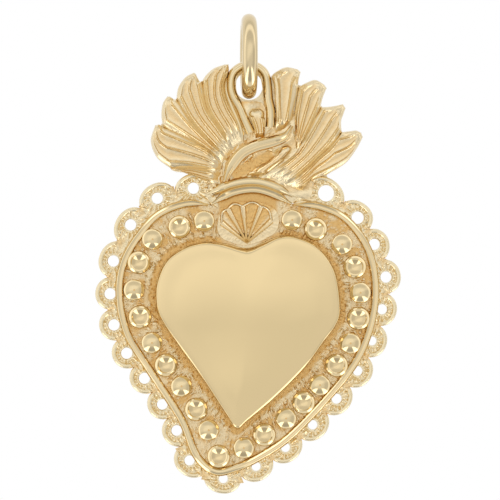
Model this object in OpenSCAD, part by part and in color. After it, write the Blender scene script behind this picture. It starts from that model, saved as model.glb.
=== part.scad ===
// Sacred-heart milagro charm: a flaming crown over a polished heart, studs, and a pierced lace edge.
// It hangs upright: +Z up, the front faces -Y. The origin is the inside top of the jump ring,
// where a chain runs. Outlines are drawn in a plane, right and up from the hanging eye.

/* [Jump ring] */
// Thickness of the ring's wire
ring_wire_d = 1.4; // [1.0:0.05:1.5]
// Inside diameter of the ring
ring_inner_d = 4.9; // [4.6:0.1:8]

/* [Hanging eye] */
// Diameter of the hole that the ring passes through
eye_hole_d = 2.5; // [2.3:0.05:2.8]
// Gap between the ring's wire and the bottom of the hole
eye_play = 0.08; // [0.05:0.01:0.3]
// Width of the strand bent round the hole
eye_strand_w = 0.7; // [0.5:0.05:0.8]
// Height of that strand above the crown sheet
eye_strand_h = 0.9; // [0.5:0.05:1.5]

/* [Charm] */
// Width across the lace edge
charm_w = 27.5; // [24.7:0.1:34]
// Drop from the middle of the eye to the lowest lace loop
charm_drop = 36.7; // [33:0.1:46]
// Thickness of the ground sheet, the crown sheet and the lace strip
sheet_t = 0.9; // [0.6:0.05:1.4]
// Hairline gap left between tongues that lie side by side
seam = 0.05; // [0.02:0.01:0.1]

/* [Heart dome] */
// Height of the dome above the ground sheet
dome_rise = 2; // [1.4:0.1:4]
// Height of the upright rim at the foot of the dome
dome_rim_h = 0.5; // [0.2:0.05:0.8]
// Wall of the hollow dome
dome_wall = 0.45; // [0.3:0.05:0.7]
// Bore of the vent behind the dome
vent_d = 0.8; // [0.5:0.1:1.5]

/* [Lace edge] */
// How far a lace loop stands out from the middle of its hole
loop_out = 1.32; // [1.2:0.02:1.5]
// Diameter of the hole drilled in an ordinary loop
loop_hole_d = 1; // [0.7:0.05:1.1]
// Reach of a loop along the strip, as a share of the way to the next loop
loop_reach = 0.49; // [0.42:0.01:0.5]

/* [Wires] */
// Width of the border wire
border_w = 0.55; // [0.4:0.05:0.65]
// Height of the border wire
border_h = 0.6; // [0.4:0.05:1]
// Width of the arch wire over the fan
arch_w = 0.65; // [0.4:0.05:0.8]
// Height of the arch wire
arch_h = 0.8; // [0.4:0.05:1.2]

/* [Studs] */
// Diameter of a ball stud
ball_d = 1.9; // [1.5:0.05:1.95]
// Height of a ball stud
ball_h = 1; // [0.7:0.05:1.15]
// Height of the collar under each ball
ball_collar_h = 0.25; // [0.1:0.05:0.5]
// Diameter of a cup stud
cup_d = 2.1; // [1.6:0.05:2.15]
// Height of a cup stud
cup_h = 0.8; // [0.6:0.05:1.2]
// Depth of the dish in a cup stud
dish_depth = 0.35; // [0.15:0.05:0.45]
// Width of the rim round the dish
dish_rim_w = 0.2; // [0.1:0.05:0.35]

/* [Fan] */
// Thickness of the fan's ground
fan_ground_h = 0.25; // [0.15:0.05:0.5]
// Height of the fan's ribs above its ground
fan_rib_h = 0.5; // [0.2:0.05:0.8]
// Width of a rib where it meets the arch
fan_rib_w = 0.4; // [0.2:0.05:0.5]

/* [Flames] */
// Thickness of a tongue along its edges
tongue_edge_h = 0.5; // [0.3:0.05:0.9]
// How far the middle of a tongue swells above its edges
tongue_swell = 0.45; // [0.2:0.05:1]
// Height of the ridges along a tongue
tongue_ridge_h = 0.4; // [0.1:0.05:0.7]
// How far the crown sheet is set back behind the tongues' outline
crown_inset = 0.15; // [0.05:0.05:0.3]
// Width of the ribbon that crosses the foot of the flames
ribbon_w = 0.85; // [0.5:0.05:0.95]
// Height of the ribbon
ribbon_h = 1.2; // [0.7:0.05:1.6]
// Width of the band over the arch wire
band_w = 0.65; // [0.3:0.05:0.7]
// Height of the band
band_h = 0.55; // [0.3:0.05:1]

/* [Hidden] */
$fn = 48;
// The outlines below are drawn for this width and drop, and stretch with the two sizes above
drawn_w = 27.5;
drawn_drop = 36.7;
// Steps of a curve between two of its points
curve_steps = 4;
// Facets over a half-round wire
wire_facets = 6;
// Facets over each ridge of a tongue
ridge_facets = 4;
// Steps of the dome's edge between two of its points
dome_steps = 3;
// Rings round the dome, as shares of the way from its middle to its edge
DOME_RINGS = [1, 0.975, 0.92, 0.82, 0.64, 0.36];
// Roundness of the dome's shoulder: the higher, the flatter its face
dome_shoulder = 4.5;
// Straight flank at the foot of a half-round wire
wire_flank_h = 0.1;
// Reach of a cutter past the face that it cuts
over = 1;

// Foot of the heart dome, from the cleft over the left lobe, down to the tip and up the right side
DOME_EDGE = [
    [-0.25, -14.55], [-2.3, -14.1], [-4, -13.95], [-5.75, -14.4], [-7.45, -15.55], [-8.35, -17.35],
    [-8.55, -19], [-8.2, -20.7], [-6.95, -22.75], [-4.4, -26.3], [-2.05, -29.8], [-1.15, -30.95],
    [-0.2, -30.25], [2.35, -28.15], [5.05, -25.45], [6.75, -23.15], [8.1, -21.15], [8.25, -19.25],
    [7.75, -16.55], [6.4, -14.6], [4.6, -13.6], [2.9, -13.4], [1.2, -14.05]];
// Middle of the dome
DOME_MID = [-0.2, -21.5];

// Border wire, from the left end of the arch down, round the tip and up to the right end
BORDER = [
    [-3.4, -10.65], [-5.65, -10.5], [-8.2, -11.5], [-10.1, -13.6], [-11.4, -16], [-11.75, -18.9],
    [-11.05, -22.25], [-9.15, -25.4], [-6.2, -29.95], [-4.8, -33.3], [-3.1, -34.75], [-1.2, -34.45],
    [0.95, -33.45], [3.75, -31.55], [7.5, -27.65], [9.8, -24.6], [11.1, -21.3], [11.45, -17.9],
    [10.75, -14.6], [8.8, -11.95], [6.3, -10.75], [3.8, -10.6]];
// Arch wire over the fan, left to right
ARCH = [[-3.4, -10.65], [-2.45, -10.05], [-1.45, -9.6], [-0.25, -9.35], [0.8, -9.35], [1.9, -9.65],
    [2.9, -10.1], [3.8, -10.6]];

// Lace loops, which are spaced by hand: their middles, and the size of their holes next to an ordinary one
LACE_LOOPS = [
    [-5, -9.2, 1], [-8.25, -10.1, 1], [-10.65, -12.5, 1], [-12.2, -15.75, 1], [-12.5, -18.7, 1],
    [-12.15, -21.5, 1], [-11, -24.05, 1], [-9.4, -26.3, 1], [-7.8, -28.65, 0.95], [-6.5, -31, 0.95],
    [-5.35, -33.7, 0.9], [-2.3, -35.35, 0.8], [0.65, -34.25, 0.8], [3.3, -32.55, 0.8], [5.75, -30.5, 0.85],
    [7.9, -28.15, 0.9], [9.8, -25.65, 0.85], [11.1, -22.95, 0.8], [12, -20.1, 0.9], [12.35, -17.2, 1],
    [11.3, -14.25, 1], [9.8, -11.85, 1.1], [6.95, -9.65, 1.45]];
// Studs: a point on their row, and how many studs lie from it up to the next point
STUD_ROW = [
    [-4.05, -12.15, 2], [-8.7, -13.8, 2], [-10.35, -18.35, 2], [-8.75, -23.1, 2], [-6.1, -27, 2],
    [-3.65, -30.95, 1], [-2.75, -33.3, 1], [-0.5, -32.55, 2], [3.3, -29.9, 2], [6.35, -26.9, 2],
    [9.1, -23.15, 2], [10, -18.6, 2], [8.35, -14.25, 2], [3.85, -12.05, 1]];

// Strand of the eye, from its left foot over the hole to its right foot
EYE_STRAND = [[0.1, -4.2], [-0.7, -2.5], [-1.5, -1.1], [-1.75, 0], [-1.55, 1.1], [-0.85, 1.75], [0, 1.95],
    [0.85, 1.75], [1.5, 1.1], [1.75, 0], [1.85, -1.4], [1.95, -2.6], [1.9, -3.7]];
// Ribbon across the foot of the flames, left to right
RIBBON = [[-2.15, -8.55], [-1.7, -7.4], [-0.7, -6.1], [0.65, -5.4], [2.15, -5], [3.25, -4.55], [3.85, -3.6]];
// Share of the full width along the ribbon
RIBBON_WIDTHS = [0.4, 0.9, 1, 1, 1, 0.8, 0.3];

// Seams between the tongues, from the root to the notch
SEAM_LIP = [[-2.75, -8.8], [-3.8, -8.6], [-4.85, -8.15], [-5.95, -7.8]];
SEAM_A = [[-2.65, -7.65], [-4.05, -7.5], [-5.5, -7.35], [-7.1, -7.4]];
SEAM_AB = [[-2.4, -6.95], [-3.85, -5.65], [-5.65, -4.7], [-7.75, -3.7]];
SEAM_BC = [[-1.95, -6.4], [-3.35, -5.3], [-5.3, -3.15], [-6.55, -1.2]];
SEAM_CD = [[-1.4, -5.85], [-2.6, -3.95], [-3.8, -2], [-4.25, 0.4]];
SEAM_DE = [[-0.45, -5.25], [-1, -3.4], [-1.9, -1.7], [-2.3, 0], [-1.85, 1.25]];
SEAM_EF = [[2.35, -4.2], [2.45, -3.05], [2.35, -1.45], [2.25, 0], [2, 0.9]];
SEAM_F = [[3.25, -3.8], [3.7, -3], [4, -2], [4.45, -0.1]];
SEAM_G = [[4.2, -5.4], [4.15, -4], [4.1, -2.5], [4.45, -0.1]];
SEAM_GH = [[4.3, -5.85], [4.95, -4.7], [5.75, -3.25], [6.45, -1.9]];
SEAM_H = [[1.65, -8.05], [2.45, -7.4], [3.45, -6.65], [4.3, -5.85], [5.35, -4], [6.45, -1.9]];
SEAM_HI = [[3.35, -8.85], [4.15, -8.3], [5.25, -7.35], [6.35, -6.3], [7.4, -5.35], [8.35, -4.15]];
SEAM_I = [[4.45, -9.35], [5, -9], [5.85, -8.35], [7, -8]];

// The tongues: name, left seam, left side up to the tip, right side up to the tip, right seam, ridges
TONGUES = [
    ["flame_lip", SEAM_LIP, [[-6.5, -7.75], [-6.95, -7.6]], [[-7.05, -7.42], [-7.08, -7.45]], SEAM_A, 2],
    ["flame_1", SEAM_A, [[-8.3, -6.45], [-8.85, -4.95], [-8.45, -3.55]],
        [[-7.85, -3.62], [-7.95, -3.55], [-8.1, -3.45]], SEAM_AB, 3],
    ["flame_2", SEAM_AB, [[-7.9, -2.6], [-7.75, -1.55], [-7.35, -0.95]],
        [[-6.75, -1.2], [-6.9, -1.1], [-7.1, -0.95]], SEAM_BC, 2],
    ["flame_3", SEAM_BC, [[-6.35, -0.1], [-5.7, 0.8], [-4.95, 1.2]],
        [[-4.4, 0.4], [-4.6, 0.7], [-4.8, 1.1]], SEAM_CD, 3],
    ["flame_4", SEAM_CD, [[-3.85, 1], [-3.15, 1.6], [-2.15, 1.95]],
        [[-1.8, 1.45], [-1.82, 1.7], [-1.85, 1.95]], SEAM_DE, 3],
    ["flame_5", SEAM_EF, [[2.45, 1.3], [3.35, 1.7], [4.4, 1.5]],
        [[4.45, 0.35], [4.55, 0.85], [4.65, 1.25]], SEAM_F, 2],
    ["flame_6", SEAM_G, [[5.15, 0.3], [6, 0.55], [6.8, 0.1]],
        [[6.6, -1.2], [6.8, -0.65], [7, -0.2]], SEAM_GH, 3],
    ["flame_7", SEAM_H, [[7.3, -1.85], [7.9, -1.75], [8.45, -1.62]],
        [[8.3, -3.2], [8.5, -2.55], [8.7, -2]], SEAM_HI, 3],
    ["flame_8", SEAM_HI, [[9.1, -4.05], [9.65, -4], [10.1, -4.2]],
        [[8.7, -6.95], [9.7, -5.65], [10.25, -4.6]], SEAM_I, 3]];
// Leaf under the ribbon, and the short tongue between the strand's two ends: as the tongues
LEAF = ["flame_leaf", [[-0.2, -8.1], [0.45, -7.45], [1.35, -6.9]], [[2.3, -6.2], [3, -5.4]],
    [[3.85, -5.75], [3.5, -5.25]], [[1.35, -8.1], [2.25, -7.35], [3.15, -6.65]], 2];
MID = ["flame_mid", [[0.6, -4.75], [0.4, -3.7], [0, -2.75]], [[-0.05, -2.4], [0.3, -2]],
    [[1.35, -2.3], [0.95, -2]], [[1.35, -4.65], [1.45, -3.8], [1.4, -2.9]], 2];
// Band over the arch wire, left to right
BAND = [[-3.85, -9.8], [-2.9, -9.35], [-1.75, -8.9], [-0.4, -8.63], [0.9, -8.65], [2.1, -9], [3.1, -9.45],
    [3.95, -9.9]];

// Foot of the crown sheet, from the right end of the arch round to its left end
CROWN_FOOT = [[5.3, -10.1], [5.7, -9.5], [5.9, -9], [6.3, -8.5], [7.1, -8.25], [6.6, -7.2], [0, -4],
    [-5, -7.2], [-3.9, -8.9], [-4.2, -9.9]];
// Middle of the crown sheet, where the tongues' roots and the ribbon lie
CROWN_HEART = [[-2.6, -8.9], [-2.6, -6], [-0.6, -3], [2.3, -3], [4.3, -0.9], [5.2, -5], [5.4, -7.5],
    [4.2, -9.4]];
// Width of sheet left round the eye's hole
eye_rim_w = 0.75;
// Half the turn of a lace loop's outer side, and the facets along it
loop_turn = 80;
loop_facets = 16;
// Gaps between tongues that the crown sheet runs across
crown_bridge = 0.2;
// Rows of points along a tongue's seam, and round its tip
seam_rows = 9;
tip_rows = 5;
// Shape of a tongue's swell: how sharply it bows across, and where along a half wave it starts and ends
swell_bow = 0.7;
swell_start = 30;
swell_end = 160;
// Share of a tongue's length over which its ridges fade out at the tip
ridge_fade = 0.25;
// Thinness of a fan rib at its root, next to its head
fan_root_share = 1 / 3;

// Fan: its outline, and the head of each rib
FAN_EDGE = [[-0.2, -14.3], [-2.15, -13.85], [-2.85, -12.9], [-2.5, -11.3], [-1.4, -10.65], [0.2, -10.45],
    [1.5, -10.65], [2.45, -11.3], [2.65, -12.5], [2, -13.45]];
FAN_RIB_HEADS = [[-2.45, -12.3], [-1.9, -11.1], [-0.6, -10.85], [1.05, -10.85], [2, -12.1]];
FAN_ROOT = [-0.2, -14.1];

stretch = [charm_w / drawn_w, charm_drop / drawn_drop];
ring_mid_r = (ring_inner_d + ring_wire_d) / 2;
ring_mid_z = -ring_inner_d / 2;
eye_z = ring_mid_z - ring_mid_r - ring_wire_d / 2 - eye_play + eye_hole_d / 2;
ball_r = ball_d / 2;
cup_r = cup_d / 2;

// Point scaled from the drawing to the charm
function placed(p) = [p.x * stretch.x, p.y * stretch.y];
function place_all(points) = [for (p = points) placed(p)];
function mix(a, b, t) = a + (b - a) * t;
function unit(v) = v / norm(v);
function side_of(v) = [v.y, -v.x];

// Smooth curve through four points, between the middle two
function blend4(a, b, c, d, t) =
    ((2 * b) + (c - a) * t + (2 * a - 5 * b + 4 * c - d) * t ^ 2 + (3 * b - a - 3 * c + d) * t ^ 3) / 2;
function at_key(keys, i) = keys[max(0, min(len(keys) - 1, i))];
function open_at(keys, i, t) =
    blend4(at_key(keys, i - 1), at_key(keys, i), at_key(keys, i + 1), at_key(keys, i + 2), t);
function open_curve(keys, steps) =
    let (last = len(keys) - 1)
    [for (n = [0 : last * steps]) let (i = min(last - 1, floor(n / steps))) open_at(keys, i, n / steps - i)];
function round_curve(keys, steps) =
    let (count = len(keys))
    [for (n = [0 : count * steps - 1])
        let (i = floor(n / steps))
        blend4(keys[(i + count - 1) % count], keys[i], keys[(i + 1) % count], keys[(i + 2) % count],
            n / steps - i)];

// A curve cut to an even number of rows, whatever its number of keys
function even_curve(keys, rows) =
    let (last = len(keys) - 1)
    [for (n = [0 : rows]) let (u = n * last / rows, i = min(last - 1, floor(u))) open_at(keys, i, u - i)];

// Direction to the right of an open curve, and of a closed one, at one of its points
function right_of(path, i) = side_of(unit(path[min(len(path) - 1, i + 1)] - path[max(0, i - 1)]));
function right_round(path, i) =
    let (count = len(path)) side_of(unit(path[(i + 1) % count] - path[(i + count - 1) % count]));
function shifted_round(path, distance) =
    [for (i = [0 : len(path) - 1]) path[i] + right_round(path, i) * distance];

// Places on a row whose points say how many copies lie up to the next one
function row_places(row) =
    let (keys = [for (p = row) placed(p)])
    [for (i = [0 : len(row) - 1]) for (n = [0 : row[i][2] - 1]) open_at(keys, i, n / row[i][2])];

// Outer side of a lace loop, as an oval arc that reaches towards its neighbours
function loop_arc(i) =
    let (before = max(0, i - 1), after = min(len(loops) - 1, i + 1),
        way = unit(loops[after] - loops[before]),
        near = min([for (j = [before, after]) if (j != i) norm(loops[j] - loops[i])]))
    [for (k = [0 : loop_facets])
        let (a = loop_turn * (2 * k / loop_facets - 1))
        loops[i] + way * near * loop_reach * sin(a) + side_of(way) * loop_out * cos(a)];

dome_edge = round_curve(place_all(DOME_EDGE), dome_steps);
dome_mid = placed(DOME_MID);
border_line = open_curve(place_all(BORDER), curve_steps);
arch_line = open_curve(place_all(ARCH), curve_steps);
// The border wire stops one step short of the arch at each end
border_run = [for (i = [1 : len(border_line) - 2]) border_line[i]];
sheet_edge = concat(border_line, [for (i = [len(arch_line) - 2 : -1 : 1]) arch_line[i]]);
loops = place_all(LACE_LOOPS);
lace_outline = concat([for (i = [0 : len(loops) - 1]) each loop_arc(i)],
    [for (i = [len(border_line) - 1 : -1 : 0]) border_line[i]]);
studs = row_places(STUD_ROW);
ball_places = [for (i = [0 : 2 : len(studs) - 1]) studs[i]];
cup_places = [for (i = [1 : 2 : len(studs) - 1]) studs[i]];
function numbered(name, i) = str(name, i < 9 ? "0" : "", i + 1);
BALLS = [for (i = [0 : len(ball_places) - 1]) numbered("ball_stud_", i)];
CUPS = [for (i = [0 : len(cup_places) - 1]) numbered("cup_stud_", i)];
FLAMES = [for (t = TONGUES) t[0]];

// Stands a piece drawn in the plane upright: drawing up is +Z, its thickness runs forward to -Y
module upright() {
    translate([0, sheet_t / 2, eye_z]) rotate([90, 0, 0]) children();
}

// Solid between a flat foot at the height base and a skin of rows of points over it
module over_foot(rows, base) {
    cols = len(rows[0]);
    stride = cols + 2;
    last = (len(rows) - 1) * stride;
    points = [for (row = rows)
        each concat(row, [[row[0].x, row[0].y, base], [row[cols - 1].x, row[cols - 1].y, base]])];
    skin = [for (i = [0 : stride : last - stride]) for (a = [i : i + cols - 2])
        let (b = a + stride)
        each [[a, b, b + 1], [a, b + 1, a + 1]]];
    sides = [for (a = [0 : stride : last - stride])
        let (b = a + stride)
        each [[a + cols, b + cols, b, a], [a + cols + 1, a + cols - 1, b + cols - 1, b + cols + 1],
            [a + cols, a + cols + 1, b + cols + 1, b + cols]]];
    caps = [
        concat([cols], [for (j = [0 : cols - 1]) j], [cols + 1]),
        concat([last + cols + 1], [for (j = [cols - 1 : -1 : 0]) last + j], [last + cols])];
    polyhedron(points, concat(skin, sides, caps));
}

// Half-round section across a wire, from its left edge to its right edge
function wire_row(middle, right, width, height, base) =
    [for (k = [0 : wire_facets])
        let (a = 180 * k / wire_facets, p = middle - right * cos(a) * width / 2)
        [p.x, p.y, base + wire_flank_h + (height - wire_flank_h) * sin(a)]];

// Half-round wire laid along an open path, its width given for each point
module laid_wire(path, widths, height) {
    over_foot([for (i = [0 : len(path) - 1])
        wire_row(path[i], right_of(path, i), widths[i], height, sheet_t)],
        sheet_t);
}

// Skin of a tongue: s runs from its root to its tip, t from its left edge to its right edge
function swell_at(s, t) = sin(180 * t) ^ swell_bow * sin(mix(swell_start, swell_end, s));
function ridge_at(s, t, ridges) = (1 - cos(360 * ridges * t)) / 2 * min(1, (1 - s) / ridge_fade);
function tongue_height(s, t, ridges) =
    tongue_edge_h + tongue_swell * swell_at(s, t) + tongue_ridge_h * ridge_at(s, t, ridges);

// Edge of a tongue: along its seam and then round its tip, where the two share one point
function tongue_side(seam_keys, tip_keys) =
    let (tip = even_curve(concat([seam_keys[len(seam_keys) - 1]], tip_keys), tip_rows))
    concat(even_curve(seam_keys, seam_rows), [for (i = [1 : tip_rows]) tip[i]]);

// One ridged flame tongue between its edges
module tongue(t) {
    left = tongue_side(place_all(t[1]), place_all(t[2]));
    right = tongue_side(place_all(t[4]), place_all(t[3]));
    facets = t[5] * ridge_facets;
    rows = len(left) - 1;
    over_foot([for (i = [0 : rows])
        let (across = unit(right[i] - left[i]) * seam / 2, a = left[i] + across, b = right[i] - across)
        [for (k = [0 : facets])
            let (p = mix(a, b, k / facets))
            [p.x, p.y, sheet_t + tongue_height(i / rows, k / facets, t[5])]]],
        sheet_t);
}

// Outline of one tongue, and of the eye between the two middle ones
module tongue_outline(left, right) {
    left_line = open_curve(place_all(left), curve_steps);
    right_line = open_curve(place_all(right), curve_steps);
    polygon(concat(left_line, [for (i = [len(right_line) - 1 : -1 : 0]) right_line[i]]));
}

// Crown sheet: the flames' outline set back, closed between the tongues, and the foot under them
module crown_outline() {
    offset(r = -crown_inset - crown_bridge, $fn = 16)
        offset(r = crown_bridge, $fn = 16) {
            for (t = TONGUES) tongue_outline(concat(t[1], t[2]), concat(t[4], t[3]));
            tongue_outline(SEAM_DE, SEAM_EF);
            polygon(place_all(CROWN_HEART));
        }
    difference() {
        polygon(concat(arch_line, place_all(CROWN_FOOT)));
        polygon(sheet_edge);
    }
    circle(r = eye_hole_d / 2 + eye_rim_w);
}

// A skin of the dome, as rings of points that rise from its foot to one point in the middle
function dome_height(r) = dome_rim_h + (dome_rise - dome_rim_h) * sqrt(1 - r ^ dome_shoulder);
function dome_rings(edge, share) = concat(
    [for (p = edge) [p.x, p.y, sheet_t]],
    [for (r = DOME_RINGS) for (p = edge)
        let (q = mix(dome_mid, p, r)) [q.x, q.y, sheet_t + dome_height(r) * share]],
    [[dome_mid.x, dome_mid.y, sheet_t + dome_rise * share]]);

module jump_ring() {
    color("#dcc48e")
        translate([0, 0, ring_mid_z])
            rotate([0, 90, 0])
                rotate_extrude()
                    translate([ring_mid_r, 0])
                        circle(d = ring_wire_d);
}

module crown_sheet() {
    color("#c99a55")
        upright()
            difference() {
                linear_extrude(sheet_t) crown_outline();
                translate([0, 0, -over]) cylinder(d = eye_hole_d, h = sheet_t + 2 * over);
            }
}

module ground_sheet() {
    color("#c8954e")
        upright()
            difference() {
                linear_extrude(sheet_t) polygon(sheet_edge);
                translate([dome_mid.x, dome_mid.y, -over]) cylinder(d = vent_d, h = sheet_t + 2 * over);
            }
}

module lace_edge() {
    color("#cdb987")
        upright()
            difference() {
                linear_extrude(sheet_t) polygon(lace_outline);
                translate([0, 0, -over]) linear_extrude(sheet_t + 2 * over) crown_outline();
                for (i = [0 : len(loops) - 1])
                    translate([loops[i].x, loops[i].y, -over])
                        cylinder(d = loop_hole_d * LACE_LOOPS[i][2], h = sheet_t + 2 * over);
            }
}

module border_wire() {
    color("#e6d29c")
        upright() laid_wire(border_run, [for (p = border_run) border_w], border_h);
}

module arch_wire() {
    color("#e0cc98")
        upright() laid_wire(arch_line, [for (p = arch_line) arch_w], arch_h);
}

module heart_dome() {
    around = len(dome_edge);
    rings = len(DOME_RINGS) + 1;
    outer = dome_rings(dome_edge, 1);
    inner = dome_rings(shifted_round(dome_edge, -dome_wall), (dome_rise - dome_wall) / dome_rise);
    inside = len(outer);
    quads = [for (k = [0 : rings - 2]) for (i = [0 : around - 1])
        let (n = (i + 1) % around)
        [k * around + i, (k + 1) * around + i, (k + 1) * around + n, k * around + n]];
    tops = [for (i = [0 : around - 1])
        [(rings - 1) * around + i, rings * around, (rings - 1) * around + (i + 1) % around]];
    skins = concat([for (q = quads) each [[q[0], q[1], q[2]], [q[0], q[2], q[3]]]], tops);
    foot = [for (i = [0 : around - 1])
        let (n = (i + 1) % around) [i, n, inside + n, inside + i]];
    color("#ead3a0")
        upright()
            polyhedron(concat(outer, inner),
                concat(skins, [for (f = skins) [inside + f[0], inside + f[2], inside + f[1]]], foot));
}

// Ball stud: the cap of a larger ball on a collar
module ball_stud(place) {
    cap_h = ball_h - ball_collar_h;
    cap_r = (ball_r ^ 2 + cap_h ^ 2) / (2 * cap_h);
    color("#cbbe96")
        upright()
            translate([place.x, place.y, sheet_t]) {
                cylinder(r = ball_r, h = ball_collar_h);
                translate([0, 0, ball_collar_h])
                    difference() {
                        translate([0, 0, cap_h - cap_r]) sphere(r = cap_r);
                        translate([0, 0, -cap_r - over]) cube(2 * (cap_r + over), center = true);
                    }
            }
}

module cup_stud(place) {
    dish_r = cup_r - dish_rim_w;
    dish_ball_r = (dish_r ^ 2 + dish_depth ^ 2) / (2 * dish_depth);
    color("#d8c592")
        upright()
            translate([place.x, place.y, sheet_t])
                difference() {
                    cylinder(r = cup_r, h = cup_h);
                    translate([0, 0, cup_h - dish_depth + dish_ball_r]) sphere(r = dish_ball_r);
                }
}

// Fan: a flat ground with a tapered rib from the root to each head
module fan() {
    root = placed(FAN_ROOT);
    color("#b97f3a")
        upright()
            translate([0, 0, sheet_t]) {
                linear_extrude(fan_ground_h) polygon(place_all(FAN_EDGE));
                for (head = place_all(FAN_RIB_HEADS)) {
                    across = side_of(unit(head - root)) * fan_rib_w / 2;
                    foot = across * fan_root_share;
                    linear_extrude(fan_ground_h + fan_rib_h)
                        polygon([root - foot, head - across, head + across, root + foot]);
                }
            }
}

module eye_strand() {
    line = open_curve(place_all(EYE_STRAND), curve_steps);
    color("#e3d09c")
        upright() laid_wire(line, [for (p = line) eye_strand_w], eye_strand_h);
}

module ribbon() {
    line = open_curve(place_all(RIBBON), curve_steps);
    widths = open_curve(RIBBON_WIDTHS, curve_steps);
    color("#d9c795")
        upright() laid_wire(line, ribbon_w * widths, ribbon_h);
}

module crown_band() {
    line = open_curve(place_all(BAND), curve_steps);
    color("#d9c795")
        upright() laid_wire(line, [for (p = line) band_w], band_h);
}

module flame_leaf() {
    color("#d9c795") upright() tongue(LEAF);
}

module flame_mid() {
    color("#d9c795") upright() tongue(MID);
}

jump_ring();
crown_sheet();
ground_sheet();
lace_edge();
border_wire();
arch_wire();
heart_dome();
fan();
eye_strand();
ribbon();
crown_band();
flame_leaf();
flame_mid();
for (t = TONGUES)
    color("#d6c290") upright() tongue(t);
for (i = [0 : len(ball_places) - 1])
    ball_stud(ball_places[i]);
for (i = [0 : len(cup_places) - 1])
    cup_stud(cup_places[i]);
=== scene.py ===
import math

import bmesh
import bpy
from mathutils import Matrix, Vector, geometry, noise


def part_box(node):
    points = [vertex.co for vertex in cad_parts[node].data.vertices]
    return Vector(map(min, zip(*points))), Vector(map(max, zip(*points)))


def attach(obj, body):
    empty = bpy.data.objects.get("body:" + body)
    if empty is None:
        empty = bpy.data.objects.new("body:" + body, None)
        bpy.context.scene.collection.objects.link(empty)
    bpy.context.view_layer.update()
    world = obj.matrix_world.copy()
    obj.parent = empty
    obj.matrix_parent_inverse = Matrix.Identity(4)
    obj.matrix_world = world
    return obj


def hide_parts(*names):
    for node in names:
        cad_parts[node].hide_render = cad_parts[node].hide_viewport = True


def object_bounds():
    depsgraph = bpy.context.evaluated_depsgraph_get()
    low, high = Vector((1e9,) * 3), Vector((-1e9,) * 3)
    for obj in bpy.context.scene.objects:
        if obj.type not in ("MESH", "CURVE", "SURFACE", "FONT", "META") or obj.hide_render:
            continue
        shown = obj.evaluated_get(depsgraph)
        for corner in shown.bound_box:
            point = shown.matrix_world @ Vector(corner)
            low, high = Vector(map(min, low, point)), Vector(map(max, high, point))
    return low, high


bl_info = {
    "name": "Flaming heart charm",
    "version": (1, 0, 0),
    "blender": (4, 5, 0),
    "location": "3D View > Sidebar > Charm",
    "description": "Gold flaming heart charm on its jump ring, built piece by piece round its solid model",
    "category": "Object",
}

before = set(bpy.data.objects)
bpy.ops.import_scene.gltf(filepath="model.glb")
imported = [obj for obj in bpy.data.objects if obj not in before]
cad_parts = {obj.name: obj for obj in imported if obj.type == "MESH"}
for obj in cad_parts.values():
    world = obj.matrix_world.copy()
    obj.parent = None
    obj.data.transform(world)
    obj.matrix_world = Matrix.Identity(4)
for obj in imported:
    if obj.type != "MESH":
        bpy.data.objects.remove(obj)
cad_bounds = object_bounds()

MM = 0.001
# Faces of the flat sheets
BACK_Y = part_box("ground_sheet")[1][1]
FRONT_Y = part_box("ground_sheet")[0][1]
# The eye's centre. The ring's foot lies low in the eye, as in the photograph
EYE_ABOVE_RING_FOOT = 1.17
EYE_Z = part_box("jump_ring")[0][2] + EYE_ABOVE_RING_FOOT * MM

# All outlines are in millimetres, to the right of and above the eye's centre, as in the solid model.
# Foot of the heart dome, from the cleft over the left lobe, down to the tip and up the right side
DOME_EDGE = [
    (-0.25, -14.55), (-2.3, -14.1), (-4, -13.95), (-5.75, -14.4), (-7.45, -15.55), (-8.35, -17.35),
    (-8.55, -19), (-8.2, -20.7), (-6.95, -22.75), (-4.4, -26.3), (-2.05, -29.8), (-1.15, -30.95),
    (-0.2, -30.25), (2.35, -28.15), (5.05, -25.45), (6.75, -23.15), (8.1, -21.15), (8.25, -19.25),
    (7.75, -16.55), (6.4, -14.6), (4.6, -13.6), (2.9, -13.4), (1.2, -14.05)]
DOME_MID = (-0.2, -21.5)
# Border wire, from the arch's left end round the heart to its right end
BORDER = [
    (-3.4, -10.65), (-5.65, -10.5), (-8.2, -11.5), (-10.1, -13.6), (-11.4, -16), (-11.75, -18.9),
    (-11.05, -22.25), (-9.15, -25.4), (-6.2, -29.95), (-4.8, -33.3), (-3.1, -34.75), (-1.2, -34.45),
    (0.95, -33.45), (3.75, -31.55), (7.5, -27.65), (9.8, -24.6), (11.1, -21.3), (11.45, -17.9),
    (10.75, -14.6), (8.8, -11.95), (6.3, -10.75), (3.8, -10.6)]
# Arch wire over the fan, from left to right
ARCH = [
    (-3.4, -10.65), (-2.45, -10.05), (-1.45, -9.6), (-0.25, -9.35), (0.8, -9.35), (1.9, -9.65),
    (2.9, -10.1), (3.8, -10.6)]
# Lace loops, which are spaced one by one: their middles, and the size of their holes next to an ordinary one
LACE_LOOPS = [
    (-5, -9.2, 1), (-8.25, -10.1, 1), (-10.65, -12.5, 1), (-12.2, -15.75, 1), (-12.5, -18.7, 1),
    (-12.15, -21.5, 1), (-11, -24.05, 1), (-9.4, -26.3, 1), (-7.8, -28.65, 0.95), (-6.5, -31, 0.95),
    (-5.35, -33.7, 0.9), (-2.3, -35.35, 0.8), (0.65, -34.25, 0.8), (3.3, -32.55, 0.8), (5.75, -30.5, 0.85),
    (7.9, -28.15, 0.9), (9.8, -25.65, 0.85), (11.1, -22.95, 0.8), (12, -20.1, 0.9), (12.35, -17.2, 1),
    (11.3, -14.25, 1), (9.8, -11.85, 1.1), (6.95, -9.65, 1.45)]
# The valleys of the lace edge lie a little outside the row of its holes
VALLEY_OUT = 0.23
# The lace lies this far in front of the sheets' back, so that no two backs share a plane
LACE_SET_IN = 0.02
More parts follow.
